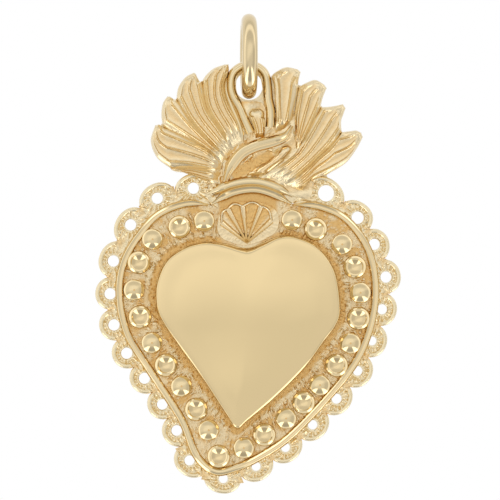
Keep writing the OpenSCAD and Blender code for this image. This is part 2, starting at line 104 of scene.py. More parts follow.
# A skin of grains is sunk this far into the sheet that it lies on
SKIN_SUNK = 0.05
# Points that the rows of the punched ground and of the fan's ground run out from
GROUND_MID = (-0.2, -20)
FAN_MID = (-0.1, -12.5)
# Grainy roots of the flames: their outline, its middle, and the point that their ridges fan out from
ROOT_EDGE = [
    (-3.6, -10.1), (-3.4, -8.9), (-2.6, -7.6), (-2.2, -6.6), (-1.5, -5.6), (-1.4, -3.5), (-1.2, -1.6),
    (-0.7, -1.4), (0, -1.42), (0.7, -1.4), (1.2, -1.6), (1.9, -2.5), (3.1, -2.2), (4.3, -2.5), (4.6, -5),
    (5.7, -8.9), (5.3, -10.1), (4.1, -9.9), (2.5, -9.4), (0.2, -8.8), (-1.8, -9.4)]
ROOT_MID = (0.3, -6)
ROOT_FOOT = (-2.2, -10.6)
# Ends of the smooth hollow under the ribbon
ROOT_HOLLOW = [(-1.08, -7.83), (1.7, -6.4)]
# Strand from its left foot round the eye to its right foot
EYE_STRAND = [
    (0.1, -4.2), (-0.7, -2.5), (-1.5, -1.1), (-1.75, 0), (-1.55, 1.1), (-0.85, 1.75), (0, 1.95),
    (0.85, 1.75), (1.5, 1.1), (1.75, 0), (1.85, -1.4), (1.95, -2.6), (1.9, -3.7)]
# Low fillet between the strand and the flame beside it
FILLET = [(-0.55, -5), (-0.9, -3.5), (-1.6, -1.8), (-2.03, -0.3), (-1.8, 1.05)]
# Ribbon across the foot of the flames, and its width at each point next to the widest
RIBBON = [(-2.15, -8.55), (-1.7, -7.4), (-0.7, -6.1), (0.65, -5.4), (2.15, -5), (3.25, -4.55), (3.85, -3.6)]
RIBBON_WIDTHS = [0.4, 0.9, 1, 1, 1, 0.8, 0.3]
# Seams between the flames, from the root up, lettered from left to right
SEAM_LIP = [(-2.75, -8.8), (-3.8, -8.6), (-4.85, -8.15), (-5.95, -7.8)]
SEAM_A = [(-2.65, -7.65), (-4.05, -7.5), (-5.5, -7.35), (-7.1, -7.4)]
SEAM_AB = [(-2.4, -6.95), (-3.85, -5.65), (-5.65, -4.7), (-7.75, -3.7)]
SEAM_BC = [(-1.95, -6.4), (-3.35, -5.3), (-5.3, -3.15), (-6.55, -1.2)]
SEAM_CD = [(-1.4, -5.85), (-2.6, -3.95), (-3.8, -2), (-4.25, 0.4)]
SEAM_DE = [(-0.45, -5.25), (-1, -3.4), (-1.9, -1.7), (-2.3, 0), (-1.85, 1.25)]
SEAM_EF = [(2.35, -4.2), (2.45, -3.05), (2.35, -1.45), (2.25, 0), (2, 0.9)]
SEAM_F = [(3.25, -3.8), (3.7, -3), (4, -2), (4.45, -0.1)]
SEAM_G = [(4.2, -5.4), (4.15, -4), (4.1, -2.5), (4.45, -0.1)]
SEAM_GH = [(4.3, -5.85), (4.95, -4.7), (5.75, -3.25), (6.45, -1.9)]
SEAM_H = [(1.65, -8.05), (2.45, -7.4), (3.45, -6.65), (4.3, -5.85), (5.35, -4), (6.45, -1.9)]
SEAM_HI = [(3.35, -8.85), (4.15, -8.3), (5.25, -7.35), (6.35, -6.3), (7.4, -5.35), (8.35, -4.15)]
SEAM_I = [(4.45, -9.35), (5, -9), (5.85, -8.35), (7, -8)]
# Share of a tongue's length that runs along its seams, before its tip
SEAM_SHARE = 9 / 14
# The tongues: name, left seam, left side up to the tip, right side up to the tip, right seam, ridges
TONGUES = [
    ("flame_lip", SEAM_LIP, [(-6.5, -7.75), (-6.95, -7.6)], [(-7.05, -7.42), (-7.08, -7.45)], SEAM_A, 2),
    ("flame_1", SEAM_A, [(-8.3, -6.45), (-8.85, -4.95), (-8.45, -3.55)],
        [(-7.85, -3.62), (-7.95, -3.55), (-8.1, -3.45)], SEAM_AB, 3),
    ("flame_2", SEAM_AB, [(-7.9, -2.6), (-7.75, -1.55), (-7.35, -0.95)],
        [(-6.75, -1.2), (-6.9, -1.1), (-7.1, -0.95)], SEAM_BC, 2),
    ("flame_3", SEAM_BC, [(-6.35, -0.1), (-5.7, 0.8), (-4.95, 1.2)],
        [(-4.4, 0.4), (-4.6, 0.7), (-4.8, 1.1)], SEAM_CD, 3),
    ("flame_4", SEAM_CD, [(-3.85, 1), (-3.15, 1.6), (-2.15, 1.95)],
        [(-1.8, 1.45), (-1.82, 1.7), (-1.85, 1.95)], SEAM_DE, 3),
    ("flame_5", SEAM_EF, [(2.45, 1.3), (3.35, 1.7), (4.4, 1.5)],
        [(4.45, 0.35), (4.55, 0.85), (4.65, 1.25)], SEAM_F, 2),
    ("flame_6", SEAM_G, [(5.15, 0.3), (6, 0.55), (6.8, 0.1)],
        [(6.6, -1.2), (6.8, -0.65), (7, -0.2)], SEAM_GH, 3),
    ("flame_7", SEAM_H, [(7.3, -1.85), (7.9, -1.75), (8.45, -1.62)],
        [(8.3, -3.2), (8.5, -2.55), (8.7, -2)], SEAM_HI, 3),
    ("flame_8", SEAM_HI, [(9.1, -4.05), (9.65, -4), (10.1, -4.2)],
        [(8.7, -6.95), (9.7, -5.65), (10.25, -4.6)], SEAM_I, 3)]
# Leaf under the ribbon, and the short tongue between the strand's two ends: as the tongues
LEAF = ("flame_leaf", [(-0.2, -8.1), (0.45, -7.45), (1.35, -6.9)], [(2.3, -6.2), (3, -5.4)],
    [(3.85, -5.75), (3.5, -5.25)], [(1.35, -8.1), (2.25, -7.35), (3.15, -6.65)], 2)
MID = ("flame_mid", [(0.6, -4.75), (0.4, -3.7), (0, -2.75)], [(-0.05, -2.4), (0.3, -2)],
    [(1.35, -2.3), (0.95, -2)], [(1.35, -4.65), (1.45, -3.8), (1.4, -2.9)], 2)
# Band over the arch wire
BAND = [
    (-3.85, -9.8), (-2.9, -9.35), (-1.75, -8.9), (-0.4, -8.63), (0.9, -8.65), (2.1, -9), (3.1, -9.45),
    (3.95, -9.9)]
# Fan: its outline, the heads of its ribs and the root that they share
FAN_EDGE = [
    (-0.2, -14.3), (-2.15, -13.85), (-2.85, -12.9), (-2.5, -11.3), (-1.4, -10.65), (0.2, -10.45),
    (1.5, -10.65), (2.45, -11.3), (2.65, -12.5), (2, -13.45)]
FAN_RIB_HEADS = [(-2.45, -12.3), (-1.9, -11.1), (-0.6, -10.85), (1.05, -10.85), (2, -12.1)]
FAN_ROOT = (-0.2, -14.1)

# Layers of the noise that the reliefs take, a different one for each so that no two match
FLAME_LAYER = 2
LACE_LAYER = 5
GRAIN_LAYER = 11
PATCH_LAYER = 20

# The photograph's frame: millimetres across it, and its middle from the eye
VIEW_WIDTH = 45
VIEW_MID = (0.09, -14.76)
# The camera's distance in metres, and its turn to the charm's left in degrees
VIEW_DISTANCE = 0.6
VIEW_TURN = -2


def linear(hex_colour):
    """An sRGB hex colour as linear red, green, blue and alpha."""
    parts = [int(hex_colour[i:i + 2], 16) / 255 for i in (1, 3, 5)]
    return tuple(c / 12.92 if c <= 0.04045 else ((c + 0.055) / 1.055) ** 2.4 for c in parts) + (1,)


def smooth_step(low, high, value):
    """0 below low, 1 above high, and a soft step between them."""
    t = clip((value - low) / (high - low))
    return t * t * (3 - 2 * t)


def mix(a, b, t):
    """Value between a, where t is 0, and b, where it is 1."""
    return a + (b - a) * t


def clip(value):
    """Value held between 0 and 1."""
    return min(max(value, 0), 1)


def spot(u, v, h):
    """Point u to the right of and v above the eye, h in front of the sheets' front face."""
    return Vector((u * MM, FRONT_Y - h * MM, EYE_Z + v * MM))


def flat(points):
    """Points as flat vectors, without what else their rows hold."""
    return [Vector((p[0], p[1])) for p in points]


def blend4(a, b, c, d, t):
    """Smooth curve through four points, between the middle two."""
    return (2 * b + (c - a) * t + (2 * a - 5 * b + 4 * c - d) * t ** 2
        + (3 * b - a - 3 * c + d) * t ** 3) / 2


def on_open(keys, share):
    """Point of the smooth open curve through keys, at a share of the way along."""
    last = len(keys) - 1
    place = clip(share) * last
    i = min(int(place), last - 1)
    near = [keys[min(max(n, 0), last)] for n in range(i - 1, i + 3)]
    return blend4(*near, place - i)


def on_round(keys, share):
    """Point of the smooth closed curve through keys, at a share of the way round."""
    count = len(keys)
    place = (share % 1) * count
    i = int(place)
    near = [keys[n % count] for n in range(i - 1, i + 3)]
    return blend4(*near, place - i)


def even_line(keys, steps, curve=on_open):
    """Points along a curve, evenly spaced by length."""
    between = 12
    fine = between * len(keys)
    points = [curve(keys, i / fine) for i in range(fine)]
    points.append(keys[-1] if curve is on_open else points[0])
    run = [0]
    for a, b in zip(points, points[1:]):
        run.append(run[-1] + (b - a).length)
    line = []
    k = 0
    for i in range(steps + 1):
        goal = run[-1] * i / steps
        while k < len(run) - 2 and run[k + 1] < goal:
            k += 1
        line.append(points[k].lerp(points[k + 1], (goal - run[k]) / max(run[k + 1] - run[k], 1e-9)))
    return line


def right_of(line, i):
    """Direction to the right of a line at one of its points."""
    way = (line[min(len(line) - 1, i + 1)] - line[max(0, i - 1)]).normalized()
    return Vector((way.y, -way.x))


def crossing(start, way, line):
    """Distance from start along a direction to a line of points, or None where it misses."""
    far = start + way * VIEW_WIDTH
    nearest = None
    for a, b in zip(line, line[1:]):
        met = geometry.intersect_line_line_2d(start, far, a, b)
        if met:
            distance = (met - start).length
            nearest = distance if nearest is None else min(nearest, distance)
    return nearest


def rays(steps):
    """Directions all the way round, evenly spaced."""
    turns = [math.tau * k / steps for k in range(steps)]
    return [Vector((math.sin(turn), math.cos(turn))) for turn in turns]


def in_cleft(p, half_width):
    """How far a point lies in the cleft between the heart's lobes, from 0 outside it to 1."""
    return math.exp(-((p.x - DOME_MID[0]) / half_width) ** 2) * smooth_step(-16, -14.6, p.y)


def new_shape():
    """A bmesh whose vertices carry how deep they lie in the relief, from 0 on a crest to 1, which sets their
    painted shade.
    """
    bm = bmesh.new()
    bm.verts.layers.float.new("depth")
    return bm


def lay_grid(bm, cols, rows, place):
    """Grid of cols by rows faces, moved by place(s, t), which gives a point and its depth."""
    depth = bm.verts.layers.float["depth"]
    verts = bmesh.ops.create_grid(bm, x_segments=cols, y_segments=rows, size=0.5)["verts"]
    for vert in verts:
        vert.co, vert[depth] = place(vert.co.y + 0.5, vert.co.x + 0.5)
    return verts


def weld(bm, verts):
    """Merges vertices that lie on each other."""
    bmesh.ops.remove_doubles(bm, verts=[v for v in verts if v.is_valid], dist=0.004 * MM)


def open_edges(bm):
    """The open edges of a whole shape."""
    return [e for e in bm.edges if e.is_boundary]


def open_edges_of(verts):
    """The open edges between the given vertices."""
    mine = set(verts)
    return list({e for v in verts for e in v.link_edges if e.is_boundary and e.other_vert(v) in mine})


def drop_sides(bm, edges, y):
    """Extrudes open edges straight back to y. Gives the new vertices and the open edges there."""
    made = bmesh.ops.extrude_edge_only(bm, edges=edges)["geom"]
    feet = [g for g in made if isinstance(g, bmesh.types.BMVert)]
    for vert in feet:
        vert.co.y = y
    return feet, [g for g in made if isinstance(g, bmesh.types.BMEdge) and g.is_boundary]


def drop_and_close(bm, edges, y):
    """Extrudes open edges straight back to y and closes the foot."""
    bmesh.ops.holes_fill(bm, edges=drop_sides(bm, edges, y)[1], sides=0)


def sweep(bm, line, section):
    """Closed bar along a line. section(share, point) gives its corners at a share of the way along the
    line, each with its distance across to the right, its height and its depth."""
    rows = len(line) - 1
    cols = len(section(0, line[0]))

    def place(s, t):
        i = round(s * rows)
        across, height, deep = section(i / rows, line[i])[round(t * cols) % cols]
        p = line[i] + right_of(line, i) * across
        return spot(p.x, p.y, height), deep

    verts = lay_grid(bm, cols, rows, place)
    weld(bm, verts)
    bmesh.ops.holes_fill(bm, edges=open_edges(bm), sides=0)


def spin_section(bm, middle, section, steps):
    """Solid of revolution about an axis that runs forwards through middle. Each of the section's corners
    has a radius, a height and a depth, and the last joins the first on the axis."""
    depth = bm.verts.layers.float["depth"]
    verts = []
    for radius, height, deep in section:
        vert = bm.verts.new(spot(middle.x + radius, middle.y, height))
        vert[depth] = deep
        verts.append(vert)
    edges = [bm.edges.new((a, b)) for a, b in zip(verts, verts[1:] + verts[:1])]
    bmesh.ops.spin(bm, geom=verts + edges, cent=spot(middle.x, middle.y, 0), axis=(0, 1, 0),
        angle=math.tau, steps=steps, use_merge=True)


def new_piece(bm, name, material):
    """Object with a bmesh's shape and one material."""
    mesh = bpy.data.meshes.new(name)
    bm.to_mesh(mesh)
    bm.free()
    mesh.materials.append(material)
    piece = bpy.data.objects.new(name, mesh)
    bpy.context.scene.collection.objects.link(piece)
    return piece


def finish_shape(bm, name, body, material, nodes, sharp=40):
    """Turns a bmesh into a piece that rides on a body and stands for its solids, if it has any. Edges
    sharper than the angle in degrees stay sharp."""
    bmesh.ops.remove_doubles(bm, verts=bm.verts, dist=0.001 * MM)
    bmesh.ops.dissolve_degenerate(bm, edges=bm.edges, dist=0.0005 * MM)
    bmesh.ops.recalc_face_normals(bm, faces=bm.faces)
    piece = new_piece(bm, name, material)
    piece.data.shade_smooth()
    piece.data.set_sharp_from_angle(angle=math.radians(sharp))
    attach(piece, body)
    if nodes:
        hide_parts(*nodes)


def add_node(tree, kind, settings, links=()):
    """Adds one node, sets its properties and sockets, and joins its inputs to earlier outputs."""
    made = tree.nodes.new(kind)
    for key, value in settings.items():
        if isinstance(key, str) and hasattr(made, key):
            setattr(made, key, value)
        else:
            made.inputs[key].default_value = value
    for key, source in links:
        tree.links.new(source, made.inputs[key])
    return made


def gold_material(name, tint, roughness, grain_mm, grain_depth, mottle_mm=3.0, mottle=0.06,
        shade="painted_shade_tint"):
    """Yellow gold: tint on its crests and a recess colour in its recesses, both as the finish names them, a
    fine grain and a slow mottle. The recess colour is painted shade, mixed in by each vertex's depth where
    the relief is deep. grain_mm is the size of the tool's or polisher's marks, and grain_depth their depth,
    in millimetres like mottle_mm. mottle is how much darker the mottle makes the gold."""
    finish = bpy.context.scene.charm_finish
    crest = linear(getattr(finish, tint))
    recess = linear(getattr(finish, shade))
    material = bpy.data.materials.new(name)
    material.use_nodes = True
    tree = material.node_tree
    tree.nodes.clear()
    place = add_node(tree, "ShaderNodeTexCoord", {}).outputs["Object"]
    depth = add_node(tree, "ShaderNodeAttribute", {"attribute_name": "depth"}).outputs["Fac"]
    slow = add_node(tree, "ShaderNodeTexNoise", {"Scale": 1 / (mottle_mm * MM), "Detail": 3.0},
        [("Vector", place)]).outputs["Fac"]
    fine = add_node(tree, "ShaderNodeTexNoise",
        {"Scale": 1 / (grain_mm * MM), "Detail": 4.0, "Roughness": 0.6},
        [("Vector", place)]).outputs["Fac"]
    darker = tuple(c * (1 - mottle) for c in crest[:3]) + (1,)
    # A Mix node's inputs 6 and 7 are its two colours and 0 is its factor, and output 2 is the colour
    mottled = add_node(tree, "ShaderNodeMix", {"data_type": "RGBA", 6: crest, 7: darker},
        [(0, slow)]).outputs[2]
    # Painted shade: the depth attribute mixes in the recess colour, which stands in for the shade deep in the
    # relief
    coloured = add_node(tree, "ShaderNodeMix", {"data_type": "RGBA", 7: recess},
        [(0, depth), (6, mottled)]).outputs[2]
    rough = add_node(tree, "ShaderNodeMapRange",
        {"To Min": roughness * 0.75, "To Max": roughness * 1.3}, [("Value", fine)]).outputs["Result"]
    bump = add_node(tree, "ShaderNodeBump", {"Strength": 1.0, "Distance": grain_depth * MM},
        [("Height", fine)]).outputs["Normal"]
    shader = add_node(tree, "ShaderNodeBsdfPrincipled", {"Metallic": 1.0},
        [("Base Color", coloured), ("Roughness", rough), ("Normal", bump)]).outputs["BSDF"]
    add_node(tree, "ShaderNodeOutputMaterial", {}, [("Surface", shader)])
    return material


def burnished_gold():
    """14 carat sheet raised over a form and buffed to a mirror: only faint waves break its reflections."""
    return gold_material("burnished_gold", "dome_tint", roughness=0.09, grain_mm=2.2, grain_depth=0.004,
        mottle_mm=6.0, mottle=0.04)


def drawn_gold(name, tint):
    """Drawn round wire, bent and polished: mirror bright with a trace of draw lines worn away."""
    return gold_material(name, tint, roughness=0.1, grain_mm=1.2, grain_depth=0.004)


def chased_gold():
    """Flames worked with a chasing tool: bright crests, and troughs that keep the tool's fine texture."""
    return gold_material("chased_gold", "flame_tint",
        roughness=0.17, grain_mm=0.25, grain_depth=0.03)


def polished_gold():
    """Ball and cup studs, struck and polished before they are set down: small sharp reflections."""
    return gold_material("polished_gold_studs", "stud_tint",
        roughness=0.08, grain_mm=0.8, grain_depth=0.003)


def pierced_gold():
    """Lace strip, pierced and engraved with short cuts: satin between bright burrs."""
    return gold_material("pierced_gold_lace", "lace_tint",
        roughness=0.2, grain_mm=0.22, grain_depth=0.03)


def matted_gold():
    """Ground beaten with a matting punch, which leaves grains about 0.2 mm across, with painted shade in the
    ground's recesses.
    """
    return gold_material("matted_gold_ground", "ground_tint", roughness=0.3, grain_mm=0.2,
        grain_depth=0.07, mottle_mm=1.5, mottle=0.2, shade="ground_painted_shade")


def fan_gold():
    """Fan and flame roots, chased in the ground: satin crests, and recesses with the same painted shade as
    the ground."""
    return gold_material("chased_gold_fan", "flame_tint", roughness=0.2, grain_mm=0.25,
        grain_depth=0.03, shade="ground_painted_shade")


class CharmSizes(bpy.types.PropertyGroup):
    """Sizes of the relief, in millimetres, and one count."""
    ridge_height: bpy.props.FloatProperty(name="Ridge height",
        description="Height of the ridges along a flame above the troughs between them", default=0.22)
    seam_height: bpy.props.FloatProperty(name="Seam height",
        description="Height of a flame's edge above the crown sheet, where two flames meet", default=0.7)
    swell: bpy.props.FloatProperty(name="Swell",
        description="How far the middle of a flame stands above its edges", default=0.12)
    dome_rise: bpy.props.FloatProperty(name="Dome rise",
        description="Height of the heart above the ground sheet", default=1.95)
    dome_rim: bpy.props.FloatProperty(name="Dome rim",
        description="Height of the upright rim at the foot of the heart", default=0.5)
    granule: bpy.props.FloatProperty(name="Granule",
        description="Size of one grain of the punched ground", default=0.32)
    loop_out: bpy.props.FloatProperty(name="Loop reach",
        description="How far a lace loop stands out from the middle of its hole", default=1.32)
    loop_hole: bpy.props.FloatProperty(name="Loop hole radius",
        description="Radius of the hole in an ordinary lace loop", default=0.5)
    loop_ribs: bpy.props.IntProperty(name="Loop ribs",
        description="Cuts round one lace loop", default=16)


class CharmFinish(bpy.types.PropertyGroup):
    """Colours of the gold, and of the painted shade in its recesses, as sRGB hex values."""
    dome_tint: bpy.props.StringProperty(name="Dome", description="Polished heart", default="#E5CE9E")
    ring_tint: bpy.props.StringProperty(name="Ring", description="Jump ring", default="#DDC9A0")
    wire_tint: bpy.props.StringProperty(name="Wire", description="Wires on the sheets", default="#E8D4A9")
    flame_tint: bpy.props.StringProperty(name="Flames", description="Crests of the flames", default="#EDDAB2")
    stud_tint: bpy.props.StringProperty(name="Studs", description="Balls and cups", default="#E6D1A4")
    lace_tint: bpy.props.StringProperty(name="Lace", description="Rims of the lace", default="#EEDDB6")
    ground_tint: bpy.props.StringProperty(name="Ground", description="Matted ground", default="#F4E2BB")
    # Painted shade of the ground, between its grains and in its grooves
    ground_painted_shade: bpy.props.StringProperty(name="Ground recess",
        description="Deepest ground", default="#DBB272")
    # Painted shade deep in the relief of every other piece
    painted_shade_tint: bpy.props.StringProperty(name="Recess",
        description="Gold deep in the relief", default="#E2BE84")


class CHARM_OT_stage(bpy.types.Operator):
    """Floor, studio tent and camera"""
    bl_idname = "charm.stage"
    bl_label = "Stage"

    def execute(self, context):
        make_floor()
        make_tent(context.scene)
        make_camera(context.scene)
        context.scene.view_settings.view_transform = "Standard"
        return {"FINISHED"}


def make_floor():
    """Pale paper floor below the hanging charm. Metal reflects the tent in its place."""
    floor_drop = 0.03
    floor_radius = 0.35
    bm = bmesh.new()
    bmesh.ops.create_circle(bm, cap_ends=True, segments=96, radius=floor_radius)
    bmesh.ops.translate(bm, verts=bm.verts, vec=(0, 0, cad_bounds[0][2] - floor_drop))
    paper = bpy.data.materials.new("pale_paper")
    paper.use_nodes = True
    shader = paper.node_tree.nodes["Principled BSDF"]
    shader.inputs["Base Color"].default_value = linear("#F4F3F0")
    shader.inputs["Roughness"].default_value = 0.9
    floor = new_piece(bm, "floor", paper)
    floor.visible_glossy = False


def make_tent(scene):
    """Light tent of about level 1 round the lens. Its sides are a little greyer and its top greyer still,
    it is brightest to the upper left, and low down two bright slots flank the dark stand of the camera,
    which is what draws a pair of bright strokes low on every ball."""
    world = bpy.data.worlds.new("light_tent")
    scene.world = world
    world.use_nodes = True
    tree = world.node_tree
    tree.nodes.clear()
    way = add_node(tree, "ShaderNodeTexCoord", {}).outputs["Generated"]
    parts = add_node(tree, "ShaderNodeSeparateXYZ", {}, [("Vector", way)]).outputs
    seen = add_node(tree, "ShaderNodeLightPath", {}).outputs
    made = {"x": parts["X"], "y": parts["Y"], "z": parts["Z"], "camera": seen["Is Camera Ray"],
        "through": seen["Is Transmission Ray"]}
    # Each row is a value's name, what is done, and what with: names of earlier values, or numbers. A soft
    # step takes a value, the two bounds that it goes from one result to the other between, and the results
    rows = [
        ("ahead", "MULTIPLY", "y", -1),
        ("down", "MULTIPLY", "z", -1),
        ("front", "SMOOTHSTEP", "ahead", -0.6, -0.2, 0, 1),
        ("walls", "SMOOTHSTEP", "ahead", 0.62, 0.9, -0.18, 0),
        ("roof", "SMOOTHSTEP", "z", 0.45, 0.75, 0, -0.16),
        ("sideways", "ABSOLUTE", "x", 0),
        ("downwards", "MAXIMUM", "down", 0.02),
        ("ratio", "DIVIDE", "sideways", "downwards"),
        ("below", "SMOOTHSTEP", "down", 0.42, 0.56, 0, 1),
        ("slot_inside", "SMOOTHSTEP", "ratio", 0.42, 0.6, 0, 1),
        ("slot_outside", "SMOOTHSTEP", "ratio", 1.15, 1.45, 1.4, 0),
        ("slot", "MULTIPLY", "slot_inside", "slot_outside"),
        ("stand", "SMOOTHSTEP", "ratio", 0.35, 0.5, -0.2, 0),
        ("slot_and_stand", "ADD", "slot", "stand"),
        ("low", "MULTIPLY", "slot_and_stand", "below"),
        ("right", "MULTIPLY", "x", 0.4),
        ("tilt", "SUBTRACT", "z", "right"),
        ("lean", "MULTIPLY", "tilt", 0.75),
        ("lean_up", "MINIMUM", "lean", 0.13),
        ("lamp", "MAXIMUM", "lean_up", -0.1),
        ("band_back", "SMOOTHSTEP", "ahead", -0.2, 0, 0, 1),
        ("band_front", "SMOOTHSTEP", "ahead", 0.15, 0.35, 0.5, 0),
        ("band", "MULTIPLY", "band_back", "band_front"),
        ("walls_and_roof", "ADD", "walls", "roof"),
        ("glow", "ADD", "walls_and_roof", "band"),
        ("low_and_lamp", "ADD", "low", "lamp"),
        ("change", "ADD", "glow", "low_and_lamp"),
        ("ahead_change", "MULTIPLY", "change", "front"),
        ("level", "ADD", 1, "ahead_change"),
        ("shown", "MAXIMUM", "camera", "through")]
    for name, task, *parts in rows:
        if task == "SMOOTHSTEP":
            kind, settings = "ShaderNodeMapRange", {"interpolation_type": task}
        else:
            kind, settings = "ShaderNodeMath", {"operation": task}
        settings.update((i, part) for i, part in enumerate(parts) if not isinstance(part, str))
        links = [(i, made[part]) for i, part in enumerate(parts) if isinstance(part, str)]
        made[name] = add_node(tree, kind, settings, links).outputs[0]
    tent = add_node(tree, "ShaderNodeBackground", {"Color": (1, 1, 1, 1)}, [("Strength", made["level"])])
    white = add_node(tree, "ShaderNodeBackground", {"Color": (1, 1, 1, 1), "Strength": 1.0})
    both = add_node(tree, "ShaderNodeMixShader", {},
        [(0, made["shown"]), (1, tent.outputs[0]), (2, white.outputs[0])]).outputs[0]
    add_node(tree, "ShaderNodeOutputWorld", {}, [("Surface", both)])


def make_camera(scene):
    """Long lens in front of the charm, a little to its left."""
    data = bpy.data.cameras.new("camera")
    data.sensor_width = 36
    data.lens = data.sensor_width * VIEW_DISTANCE / (VIEW_WIDTH * MM)
    data.clip_end = 10
    camera = bpy.data.objects.new("camera", data)
    scene.collection.objects.link(camera)
    turn = math.radians(VIEW_TURN)
    aim = spot(VIEW_MID[0], VIEW_MID[1], 0)
    camera.location = aim + Vector((math.sin(turn), -math.cos(turn), 0)) * VIEW_DISTANCE
    camera.rotation_euler = (math.radians(90), 0, turn)
    scene.camera = camera


class CHARM_OT_jump_ring(bpy.types.Operator):
    """Jump ring of round wire"""
    bl_idname = "charm.jump_ring"
    bl_label = "Jump ring"

    def execute(self, context):
        low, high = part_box("jump_ring")
        wire_r = (high[0] - low[0]) / 2
        ring_r = (high[2] - low[2]) / 2 - wire_r
        middle = Vector(((low[0] + high[0]) / 2, (low[1] + high[1]) / 2, (low[2] + high[2]) / 2))
        bm = new_shape()
        bmesh.ops.create_circle(bm, segments=32, radius=wire_r)
        bmesh.ops.translate(bm, verts=bm.verts, vec=middle + Vector((0, ring_r, 0)))
        bmesh.ops.spin(bm, geom=bm.verts[:] + bm.edges[:], cent=middle, axis=(1, 0, 0), angle=math.tau,
            steps=96, use_merge=True)
        gold = drawn_gold("drawn_gold_ring", "ring_tint")
        finish_shape(bm, "jump_ring_wire", "ring", gold, ["jump_ring"], sharp=80)
        return {"FINISHED"}


class CHARM_OT_sheets(bpy.types.Operator):
    """Finish of the ground sheet and the crown sheet"""
    bl_idname = "charm.sheets"
    bl_label = "Sheets"

    def execute(self, context):
        ground = matted_gold()
        for name in ("ground_sheet", "crown_sheet"):
            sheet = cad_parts[name]
            sheet.data.materials.clear()
            sheet.data.materials.append(ground)
        return {"FINISHED"}


def granules(p, size):
    """Height of a punched grain at a point of the ground, from 0 between grains to 1 on one."""
    from_grain = noise.voronoi(Vector((p.x, p.y, GRAIN_LAYER)) / size)[0][0]
    return smooth_step(0.55, 0.15, from_grain)


def lay_patch(bm, middle, edge, steps, rows, dress):
    """Patch of ground from an edge in to its middle. dress(p) gives the height and depth at a point."""
    aims = rays(steps)
    ends = [crossing(middle, aim, edge) for aim in aims]

    def place(s, t):
        k = round(t * steps) % steps
        p = middle + aims[k] * ends[k] * (1 - s)
        height, deep = dress(p)
        return spot(p.x, p.y, height), clip(deep)

    weld(bm, lay_grid(bm, steps, rows, place))


class CHARM_OT_ground(bpy.types.Operator):
    """Punched granular ground between the heart and the border wire"""
    bl_idname = "charm.ground"
    bl_label = "Punched ground"

    def execute(self, context):
        sizes = context.scene.charm_sizes
        middle = Vector(GROUND_MID)
        heart = even_line(flat(DOME_EDGE), steps=240, curve=on_round)
        wires = even_line(flat(BORDER), steps=300) + even_line(flat(ARCH), steps=60)[::-1]
        steps = 1000
        rows = 30
        under_heart = 0.12
        base, grain_high, ridge_high, shelf_high, crescent_high = 0.05, 0.14, 0.1, 0.3, 0.04
        patch_mm = 1.1
        aims = rays(steps)
        starts = [crossing(middle, aim, heart) - under_heart for aim in aims]
        ends = [crossing(middle, aim, wires) for aim in aims]

        def place(s, t):
            """Grains, a groove and a low ridge round the heart, a smooth shelf in its cleft, and a smooth
            crescent between the fan and the arch wire. Painted shade lies between the grains, in random
            patches, and fully in the groove and over the crescent; the ridge takes less and the shelf none."""
            k = round(t * steps) % steps
            r = mix(starts[k], ends[k], s)
            p = middle + aims[k] * r
            grain = granules(p, sizes.granule)
            gap = r - starts[k] - under_heart
            ridge = smooth_step(0.35, 0.6, gap) * smooth_step(1.1, 0.8, gap)
            patch = smooth_step(-0.25, 0.25, noise.noise(Vector((p.x, p.y, PATCH_LAYER)) / patch_mm))
            under_fan = smooth_step(3.1, 2.6, (p - Vector(FAN_MID)).length)
            height = base + grain_high * grain + ridge_high * ridge * mix(0.7, 1, grain)
            height *= mix(1, 0.3, under_fan)
            cleft = in_cleft(p, 2.2)
            groove = smooth_step(0.5, 0.25, gap) * (1 - cleft)
            shelf = cleft * smooth_step(0.9, 0.2, gap)
            crescent = smooth_step(1.4, 1.15, ends[k] - r) * smooth_step(2.9, 2.4, abs(p.x - FAN_MID[0]))
            crescent *= smooth_step(-12.5, -12, p.y)
            # Painted shade: between the grains, in the groove and over the crescent
            deep = mix(0.25, 1, patch) * (1 - grain) * mix(1, 0.5, ridge) * (1 - shelf) + 0.9 * groove
            height = mix(mix(height, shelf_high, shelf), crescent_high, crescent)
            return spot(p.x, p.y, height), clip(max(crescent, deep))

        bm = new_shape()
        weld(bm, lay_grid(bm, steps, rows, place))
        rims = drop_sides(bm, open_edges(bm), FRONT_Y + SKIN_SUNK * MM)[1]
        bmesh.ops.bridge_loops(bm, edges=rims)
        finish_shape(bm, "punched_ground", "charm", matted_gold(), [], sharp=60)
        lay_roots()
        return {"FINISHED"}


def lay_roots():
    """Grainy roots of the flames, which show between the strand, the ribbon and the leaf."""
    edge = even_line(flat(ROOT_EDGE + ROOT_EDGE[:1]), steps=200)
    grain_mm = 0.24
    base, ridge_high, grain_high, hollow_high = 0.12, 0.2, 0.05, 0.1
    ridge_rate = 13
    foot, head = flat(ROOT_HOLLOW)
    hollow = head - foot

    def dress(p):
        """Fanned ridges with grains on them, with painted shade round the eye, in the troughs between the
        ridges and in the smooth hollow under the ribbon, lighter on the grains.
        """
        spread = math.atan2(p.x - ROOT_FOOT[0], p.y - ROOT_FOOT[1])
        ridge = math.cos(spread * ridge_rate) ** 2
        grain = granules(p, grain_mm)
        deep = smooth_step(1.9, 1.3, p.length) + 0.6 * (1 - ridge) - 0.3 * grain
        share = clip((p - foot).dot(hollow) / hollow.length_squared)
        sunk = smooth_step(0.75, 0.4, (p - foot - hollow * share).length)
        return mix(base + ridge_high * ridge, hollow_high, sunk) + grain_high * grain, max(deep, sunk)

    bm = new_shape()
    lay_patch(bm, Vector(ROOT_MID), edge, steps=320, rows=44, dress=dress)
    drop_and_close(bm, open_edges(bm), FRONT_Y + SKIN_SUNK * MM)
    finish_shape(bm, "grained_roots", "charm", fan_gold(), [], sharp=60)


